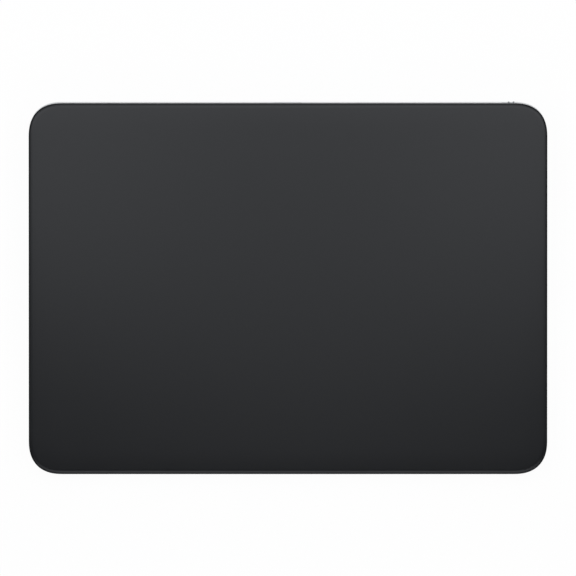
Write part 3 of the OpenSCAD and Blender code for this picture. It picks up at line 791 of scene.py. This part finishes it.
def on_desk(inset, height):
    """A profile point whose height is measured from the desk."""
    return inset, (height - DECK[2][3]) / DECK[2][2], 1.0


def disc(spot, diameter, low, high, base=DECK, points=DISC_POINTS):
    """An upright cylinder between two levels, on the deck or on another base."""
    profile = [(diameter, low), (0, low), (0, high), (diameter, high)]
    place = base @ Matrix.Translation((spot[0], spot[1], 0))
    return sweep(profile, diameter, diameter, diameter / 2, place, points=points)


def rearward(u):
    """Places a piece drawn along Z at the port's level, pointing out of the rear wall."""
    return DECK @ Matrix.Translation((u, 0, AXIS_LEVEL)) @ REARWARD


def rear_opening(u, width, height, corner):
    """A cutter through the rear wall whose mouth opens with a soft edge."""
    face = PAD_D / 2
    near = face - WALL_T - MM
    mouth = rounded(OPENING_EDGE, face, MOUTH_STEPS)
    profile = [(width, near), (0, near)] + [(-inset, level) for inset, level in mouth]
    profile += [(-OPENING_EDGE, face + MM), (width, face + MM)]
    return sweep(profile, width, height, corner, rearward(u))


def tray_shell():
    """The tray's skin and its hollow as one swept shell, floor level with the desk."""
    low = TRAY_LOW.z
    profile = [on_desk(PAD_W / 2, low), on_desk(TRAY_EDGE_R + EDGE_STRIP, low)]
    profile += [on_desk(*point) for point in rounded_under(TRAY_EDGE_R, low, TRAY_EDGE_STEPS)]
    profile.append(on_desk(0, low + TRAY_EDGE_R + EDGE_STRIP))
    profile.append((0, -RIM_DROP - RIM_CHAMFER - EDGE_STRIP))
    profile += rounded(RIM_CHAMFER, -RIM_DROP, RIM_STEPS)
    profile += [(WALL_T - RIM_CHAMFER / 2, -RIM_DROP), (WALL_T, -RIM_DROP - RIM_CHAMFER / 2)]
    profile += [on_desk(WALL_T, low + FLOOR_T), on_desk(PAD_W / 2, low + FLOOR_T)]
    return sweep(profile, PAD_W, PAD_D, CORNER_REACH, DECK, CORNER_POWER, slope=DECK_SLOPE)


def build_tray():
    """The shell with its screw posts, screw holes, foot seats and the rear wall's two openings."""
    posts = []
    holes = []
    for screws, seated_on in SCREW_SEATS.items():
        seat = deck_box(seated_on)[0].z
        for low, high in island_boxes(screws):
            spot = (low + high) / 2
            foot = (TRAY_LOW.z + FLOOR_T / 2 - (DECK @ Vector((spot.x, spot.y, 0))).z) / DECK[2][2]
            posts.append(disc(spot, BOSS_D, foot, seat))
            holes.append(disc(spot, SCREW_D + 2 * HOLE_CLEAR, low.z - BITE_CLEAR, seat + MM))
    for corner in CORNERS:
        low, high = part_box("foot_" + corner)
        width = high.x - low.x + 2 * SEAT_CLEAR
        holes.append(disc((low + high) / 2, width, -MM, high.z, Matrix(), FOOT_SEAT_POINTS))
    back, forth = joint("power_switch")["range_m"]
    slot_w = GRIP_W + forth - back + 2 * WALL_CLEAR
    holes.append(rear_opening(KNOB_MIDDLE + (back + forth) / 2, slot_w, GRIP_H + 2 * WALL_CLEAR,
                              GRIP_CORNER + WALL_CLEAR))
    mouth_h = PORT_H + 2 * WALL_CLEAR
    holes.append(rear_opening(0, PORT_W + 2 * WALL_CLEAR, mouth_h, mouth_h / 2 - SEAT_CLEAR))
    mesh = combined(tray_shell(), joined(posts), "UNION")
    return combined(mesh, joined(holes), "DIFFERENCE")


def build_foot(name):
    """A low round pad whose lower edge is rounded."""
    low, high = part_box(name)
    middle = (low + high) / 2
    width = high.x - low.x
    profile = [(width, high.z), (0, high.z)] + rounded_under(FOOT_EDGE, low.z)[::-1]
    profile += [(FOOT_EDGE + EDGE_STRIP, low.z), (width, low.z)]
    return sweep(profile, width, width, width / 2, Matrix.Translation((middle.x, middle.y, 0)))


def build_knob():
    """A scooped grip with soft edges, on a flange that keeps it behind the wall."""
    place = rearward(KNOB_MIDDLE)
    flange_w = KNOB_HIGH.x - KNOB_LOW.x
    flange_h = KNOB_HIGH.z - KNOB_LOW.z
    root = KNOB_LOW.y
    face = root + FLANGE_T
    plate = [(flange_w, root), (FLANGE_EDGE, root), (0, root + FLANGE_EDGE)]
    plate += rounded(FLANGE_EDGE, face, FLANGE_STEPS) + [(flange_w, face)]
    flange = sweep(plate, flange_w, flange_h, FLANGE_CORNER, place)
    within = root + FLANGE_T / 2
    bar = [(flange_w, within), (0, within), (0, KNOB_HIGH.y - GRIP_EDGE - EDGE_STRIP)]
    bar += rounded(GRIP_EDGE, KNOB_HIGH.y) + [(flange_w, KNOB_HIGH.y)]
    grip = sweep(bar, GRIP_W, GRIP_H, GRIP_CORNER, place)
    lever_low, lever_high = deck_box("switch_lever")
    side = lever_high.z - lever_low.z + 2 * LEVER_CLEAR
    end = lever_high.y + LEVER_CLEAR
    hollow = [(side, root - MM), (0, root - MM), (0, end), (side, end)]
    socket = sweep(hollow, side, side, LEVER_CORNER, place, points=SMALL_POINTS)
    reach = ((SCOOP_W / 2) ** 2 + SCOOP_DEPTH ** 2) / (2 * SCOOP_DEPTH)
    scoop = disc((KNOB_MIDDLE, KNOB_HIGH.y + reach - SCOOP_DEPTH), 2 * reach, KNOB_LOW.z, KNOB_HIGH.z,
                 points=SCOOP_POINTS)
    mesh = combined(combined(flange, grip, "UNION"), socket, "DIFFERENCE")
    return combined(mesh, scoop, "DIFFERENCE")


def build_port_shell():
    """A drawn steel shell with a rounded back and a rolled lip."""
    low, high = PORT_LOW.y, PORT_HIGH.y
    lip = PORT_T / 2
    profile = [(PORT_W, low)] + rounded_under(PORT_EDGE, low, PORT_EDGE_STEPS)
    profile.append((0, high - lip - EDGE_STRIP))
    for step in range(PORT_LIP_STEPS + 1):
        angle = math.pi * step / PORT_LIP_STEPS
        profile.append((lip * (1 - math.cos(angle)), high - lip * (1 - math.sin(angle))))
    profile += [(PORT_T, high - lip - EDGE_STRIP), (PORT_T, low + PORT_T), (PORT_W, low + PORT_T)]
    return sweep(profile, PORT_W, PORT_H, PORT_H / 2 - SEAT_CLEAR, rearward(0))


def build_port_tongue():
    """The moulded root block and the tongue, whose front edge is rounded."""
    low, high = deck_box("port_tongue")
    block_w = PORT_W - 2 * (PORT_T + SEAT_CLEAR)
    block_h = PORT_H - 2 * (PORT_T + SEAT_CLEAR)
    face = deck_box("port_contacts")[0].y
    block = [(block_w, low.y), (0, low.y), (0, face), (block_w, face)]
    blade = [(TONGUE_W, face - MM), (0, face - MM), (0, high.y - TONGUE_EDGE - EDGE_STRIP)]
    blade += rounded(TONGUE_EDGE, high.y) + [(TONGUE_W, high.y)]
    root = sweep(block, block_w, block_h, block_h / 2 - SEAT_CLEAR, rearward(0))
    front = sweep(blade, TONGUE_W, TONGUE_T, TONGUE_CORNER, rearward(0))
    return combined(root, front, "UNION")


def build_set_tree():
    """Sets one piece on every point of the input, such as screws in their places."""
    maker, given = geometry_tree("set_on_points", [("Piece", "Object"), ("Material", "Material")])
    shape = maker.node("GeometryNodeObjectInfo", {"transform_space": "ORIGINAL"}, {
        "Object": given["Piece"]}, out=("Geometry",))
    placed = maker.node("GeometryNodeInstanceOnPoints", inputs={
        "Points": given["Geometry"], "Instance": shape})
    return finish_tree(maker, placed, given["Material"])


SET_TREE = build_set_tree()


def set_on_points(mesh, places, slot):
    """A mesh repeated at places on the deck, as one plain mesh."""
    holder = holding(mesh)
    whole = run_tree(SET_TREE, places, {"Piece": holder, "Material": FINISHES[slot]})
    bpy.data.objects.remove(holder)
    bpy.data.meshes.remove(mesh)
    whole.transform(DECK)
    return whole


def single_screw(head_d, length):
    """A low round head with a cross recess on a chamfered shank; the head's seat is at zero."""
    shank = (head_d - SCREW_D) / 2
    profile = [(head_d, -length), (shank + SCREW_TIP, -length), (shank, -length + SCREW_TIP)]
    profile += [(shank, 0), (0, 0)] + rounded(SCREW_HEAD_EDGE, SCREW_HEAD_H)
    profile += [(SCREW_HEAD_EDGE + EDGE_STRIP, SCREW_HEAD_H), (head_d, SCREW_HEAD_H)]
    mesh = sweep(profile, head_d, head_d, head_d / 2, points=SCREW_POINTS)
    recess = [(MM, RECESS_LEVEL), (0, RECESS_LEVEL), (0, MM), (MM, MM)]
    for bar_w, bar_d in ((RECESS_L, RECESS_W), (RECESS_W, RECESS_L)):
        bar = sweep(recess, bar_w, bar_d, RECESS_CORNER, points=SMALL_POINTS)
        mesh = combined(mesh, bar, "DIFFERENCE")
    return mesh


def build_screws(name):
    """The screws of one set, each with its head's seat at the level of the CAD screw's."""
    boxes = island_boxes(name)
    low, high = boxes[0]
    length = high.z - low.z - SCREW_HEAD_H
    places = [((a.x + b.x) / 2, (a.y + b.y) / 2, b.z - SCREW_HEAD_H) for a, b in boxes]
    return set_on_points(single_screw(high.x - low.x, length), places, "screw_steel")


def build_contacts():
    """Gold-plated strips on both faces of the tongue, each with softened ends."""
    boxes = island_boxes("port_contacts")
    low, high = boxes[0]
    size = high - low
    bottom, top, soft = -size.z / 2, size.z / 2, size.z / 4
    profile = [(size.x, bottom), (0, bottom), (0, top - soft), (soft, top), (size.x, top)]
    strip = sweep(profile, size.x, size.y, size.x / 4, points=SMALL_POINTS)
    above = [tuple((a + b) / 2) for a, b in boxes if a.z > AXIS_LEVEL]
    below = [tuple((a + b) / 2) for a, b in boxes if a.z <= AXIS_LEVEL]
    upper = set_on_points(strip.copy(), above, "contact_gold")
    strip.transform(Matrix.Rotation(math.pi, 4, "Y"))
    lower = set_on_points(strip, below, "contact_gold")
    return joined([upper, lower])


def scallops(start, end, rise, count):
    """Profile points over a row of round wires between two points; rise points out of the row."""
    points = []
    for wire in range(count):
        for step in range(WIRE_STEPS):
            angle = math.pi * step / WIRE_STEPS
            share = (wire + (1 - math.cos(angle)) / 2) / count
            points.append(start.lerp(end, share) + rise * math.sin(angle))
    return points


def build_coils():
    """Two flat coils of round wire, wound in layers round the iron cores."""
    boxes = island_boxes("haptic_coils")
    low, high = boxes[0]
    size = high - low
    wire_r = size.z / WIRE_LAYERS / 2
    turns = round(WINDING_W / (2 * wire_r))
    near, far = wire_r, WINDING_W - wire_r
    floor, roof = wire_r - size.z / 2, size.z / 2 - wire_r
    corners = [Vector((near, floor)), Vector((near, roof)), Vector((far, roof)), Vector((far, floor))]
    counts = (WIRE_LAYERS, turns, WIRE_LAYERS, turns)
    outward = [Vector((-wire_r, 0)), Vector((0, wire_r)), Vector((wire_r, 0)), Vector((0, -wire_r))]
    profile = []
    for side in range(4):
        profile += scallops(corners[side], corners[(side + 1) % 4], outward[side], counts[side])
    profile.append(profile[0])
    profile = [tuple(point) for point in profile]
    coil = sweep(profile, size.x, size.y, WINDING_W / 2, points=COIL_POINTS)
    places = [tuple((a + b) / 2) for a, b in boxes]
    return set_on_points(coil, places, "coil_copper")


def build_cell():
    """A pouch cell: foil drawn over soft edges, with a slightly full face."""
    low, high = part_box("battery_cell")
    middle = (low + high) / 2
    profile = [(PAD_W, low.z), (CELL_EDGE + EDGE_STRIP, low.z)]
    profile += rounded_under(CELL_EDGE, low.z) + rounded(CELL_EDGE, high.z - POUCH_FULL)
    for step in range(1, POUCH_STEPS + 1):
        share = step / POUCH_STEPS
        profile.append((CELL_EDGE + POUCH_SPAN * share, high.z - POUCH_FULL * (1 - share) ** 2))
    profile.append((PAD_W, high.z))
    place = Matrix.Translation((middle.x, middle.y, 0))
    return sweep(profile, high.x - low.x, high.y - low.y, CELL_CORNER, place)


def build_can():
    """A drawn shield can with soft edges and a row of vent holes along both sides of its lid."""
    low, high = deck_box("shield_can")
    middle = (low + high) / 2
    size = high - low
    lid = high.z - CAN_T
    profile = [(size.x, lid), (CAN_T, lid), (CAN_T, low.z), (0, low.z)]
    profile += [(0, high.z - CAN_EDGE_R - EDGE_STRIP)] + rounded(CAN_EDGE_R, high.z)
    profile += [(CAN_EDGE_R + EDGE_STRIP, high.z), (size.x, high.z)]
    place = DECK @ Matrix.Translation((middle.x, middle.y, 0))
    can = sweep(profile, size.x, size.y, 2 * CAN_EDGE_R, place)
    vents = []
    count = int((size.x - 2 * VENT_PITCH) / VENT_PITCH)
    for row in (-1, 1):
        for number in range(count):
            u = middle.x + (number - (count - 1) / 2) * VENT_PITCH
            v = middle.y + row * (size.y / 2 - VENT_PITCH)
            vents.append(disc((u, v), VENT_D, lid - CAN_T, high.z + CAN_T))
    return combined(can, joined(vents), "DIFFERENCE")


def folded(node, start, end):
    """A copy of a CAD solid with extra edges between two points, so that it can bend there."""
    def fold(shape):
        for number in range(FOLDS + 1):
            cut = shape.verts[:] + shape.edges[:] + shape.faces[:]
            spot = start.lerp(end, number / FOLDS)
            bmesh.ops.bisect_plane(shape, geom=cut, dist=FOLD_SNAP, plane_co=spot, plane_no=end - start)

    return edited(node_copy(node), fold)


def eased(node, width):
    """A copy of a CAD solid with its sharp edges rounded off."""
    def flatten(shape):
        bmesh.ops.dissolve_limit(shape, angle_limit=FLAT_ANGLE, verts=shape.verts, edges=shape.edges)

    holder = holding(edited(node_copy(node), flatten))
    rounding = holder.modifiers.new("rounding", "BEVEL")
    rounding.width = width
    rounding.segments = EASE_STEPS
    rounding.limit_method = "ANGLE"
    rounding.angle_limit = EASE_ANGLE
    return evaluated(holder)


def neck_ends(corner):
    """Where a flexure's neck leaves its screwed root and where it reaches the pad's tip."""
    low, high = deck_box("flexure_" + corner)
    tip, away = (low.y, 1) if corner.startswith("front") else (high.y, -1)
    middle = (low + high) / 2
    return [DECK @ Vector((middle.x, tip + away * reach, middle.z)) for reach in (NECK_ROOT, NECK_TIP)]


piece("glass_plate", build_glass(), "glass_surface", "etched_glass", "touch_plate")
piece("tray_shell", build_tray(), "tray", "anodised_tray")
for corner in CORNERS:
    piece("rubber_foot_" + corner, build_foot("foot_" + corner), "foot_" + corner, "foot_rubber")
piece("slider_knob", build_knob(), "switch_knob", "knob_metal", "power_slider")
piece("socket_shell", build_port_shell(), "port_shell", "port_steel")
piece("socket_tongue", build_port_tongue(), "port_tongue", "port_plastic")
piece("socket_contacts", build_contacts(), "port_contacts", "contact_gold")
piece("wound_coils", build_coils(), "haptic_coils", "coil_copper")
piece("pouch_cell", build_cell(), "battery_cell", "cell_foil")
piece("drawn_can", build_can(), "shield_can", "spring_steel")
for corner in CORNERS:
    neck = neck_ends(corner)
    arm, gauge = "flexure_" + corner, "strain_gauge_" + corner
    piece("sprung_arm_" + corner, folded(arm, *neck), arm, "spring_steel", "gel_pads", neck)
    piece("foil_gauge_" + corner, folded(gauge, *neck), gauge, "amber_film", "gel_pads", neck)
cable_low, cable_high = deck_box("touch_flex")
cable = [DECK @ Vector((cable_low.x, cable_low.y, level)) for level in (cable_low.z, cable_high.z)]
piece("folded_cable", folded("touch_flex", *cable), "touch_flex", "amber_film", "gel_pads", cable)
for body, width, slot, nodes in EASED:
    for node in nodes:
        piece("eased_" + node, eased(node, width), node, slot, body)
for screws in SCREW_SEATS:
    piece("cross_" + screws, build_screws(screws), screws, "screw_steel")

# The CAD nodes get the same finishes, because some of them keep their own shape
for node in frame["nodes"].values():
    for index, material in enumerate(node.data.materials):
        if material.name in FINISHES:
            node.data.materials[index] = FINISHES[material.name]


def backdrop_rays(maker):
    """Rays that show the backdrop: straight to the camera, in gloss and through clear pieces."""
    return maker.node("ShaderNodeLightPath", out=(
        "Is Camera Ray", "Is Glossy Ray", "Is Transmission Ray"))


def build_floor():
    """A white sheet that takes the object's shadow; in gloss it ends in a dark room."""
    half = STAGE_SIDE / 2
    low = -STAGE_DROP
    left, right = STAGE_SHIFT - half, STAGE_SHIFT + half
    corners = [(left, -half, low), (right, -half, low), (right, half, low), (left, half, low)]
    mesh = bpy.data.meshes.new("floor")
    mesh.from_pydata(corners, [], [(0, 1, 2, 3)])
    finish = Finish("floor")
    camera, glossy, through = backdrop_rays(finish)
    grain = finish.noise(4 * MM)
    x, y = finish.node("ShaderNodeSeparateXYZ", inputs={"Vector": finish.spot}, out="XY")
    past_x = ((x * x) ** 0.5 - PAD_W / 2).at_least(0.0)
    past_y = ((y * y) ** 0.5 - PAD_D / 2).at_least(0.0)
    away = (past_x * past_x + past_y * past_y) ** 0.5
    far = ((away - SHADOW_NEAR) / SHADOW_FADE).at_least(0.0).at_most(1.0)
    sheet = 1 - ((away - SHEET_REACH) / SHEET_FADE).at_least(0.0).at_most(1.0)
    paper = finish.node("ShaderNodeBsdfDiffuse", inputs={
        "Color": finish.mix(grain, (0.92, 0.92, 0.92), (0.94, 0.94, 0.94))})
    seen = camera.at_least(through)
    strength = seen + (1 - seen) * (DARK_ROOM + sheet * (1 - DARK_ROOM))
    white = finish.node("ShaderNodeEmission", inputs={"Color": (1, 1, 1, 1), "Strength": strength})
    plain = FLOOR_WHITE + far * (1 - FLOOR_WHITE)
    shown = seen * plain + (1 - seen) * glossy * (1 - sheet * (1 - FLOOR_GLOSS))
    surface = finish.node("ShaderNodeMixShader", inputs={0: shown, 1: paper, 2: white})
    below = finish.node("ShaderNodeNewGeometry", out=("Backfacing",))
    clear = finish.node("ShaderNodeBsdfTransparent")
    one_sided = finish.node("ShaderNodeMixShader", inputs={0: below, 1: surface, 2: clear})
    finish.node("ShaderNodeOutputMaterial", inputs={"Surface": one_sided})
    mesh.materials.append(finish.material)
    floor = bpy.data.objects.new("floor", mesh)
    bpy.context.scene.collection.objects.link(floor)


def build_world():
    """White behind the object, and in gloss a dim room in which the lamps hang."""
    world = bpy.data.worlds.new("studio")
    world.use_nodes = True
    bpy.context.scene.world = world
    maker = Maker(world.node_tree)
    world.node_tree.nodes.clear()
    camera, glossy, through = backdrop_rays(maker)
    white = camera.at_least(through)
    strength = white + (1 - white) * (glossy * DARK_ROOM + (1 - glossy) * FILL)
    shade = maker.node("ShaderNodeBackground", inputs={"Color": (1, 1, 1, 1), "Strength": strength})
    maker.node("ShaderNodeOutputWorld", inputs={"Surface": shade})


def build_lamp(name, x, y, width, depth, radiance):
    """A soft box that hangs level over the sheet; its radiance is what a mirror would show."""
    light = bpy.data.lights.new(name, "AREA")
    light.shape = "RECTANGLE"
    light.size = width
    light.size_y = depth
    light.energy = radiance * math.pi * width * depth
    light.color = LAMP_COLOUR
    item = bpy.data.objects.new(name, light)
    item.location = (x, y, LAMP_Z)
    item.visible_camera = False
    bpy.context.scene.collection.objects.link(item)


def build_camera():
    """Straight down from far away, so that the plan stays square."""
    camera = bpy.data.cameras.new("camera")
    camera.lens = CAMERA_LENS
    camera.sensor_width = CAMERA_SENSOR
    camera.clip_end = CAMERA_REACH
    width = (cad_box[1].x - cad_box[0].x) * FRAME_PIXELS / PLAN_PIXELS
    distance = width * CAMERA_LENS / CAMERA_SENSOR
    item = bpy.data.objects.new("camera", camera)
    item.location = (0, CAMERA_Y, TRAY_HIGH.z / 2 + distance)
    bpy.context.scene.collection.objects.link(item)
    bpy.context.scene.camera = item


build_floor()
build_world()
for soft_box in LAMPS:
    build_lamp(*soft_box)
build_camera()

bpy.context.scene.view_settings.view_transform = "Standard"
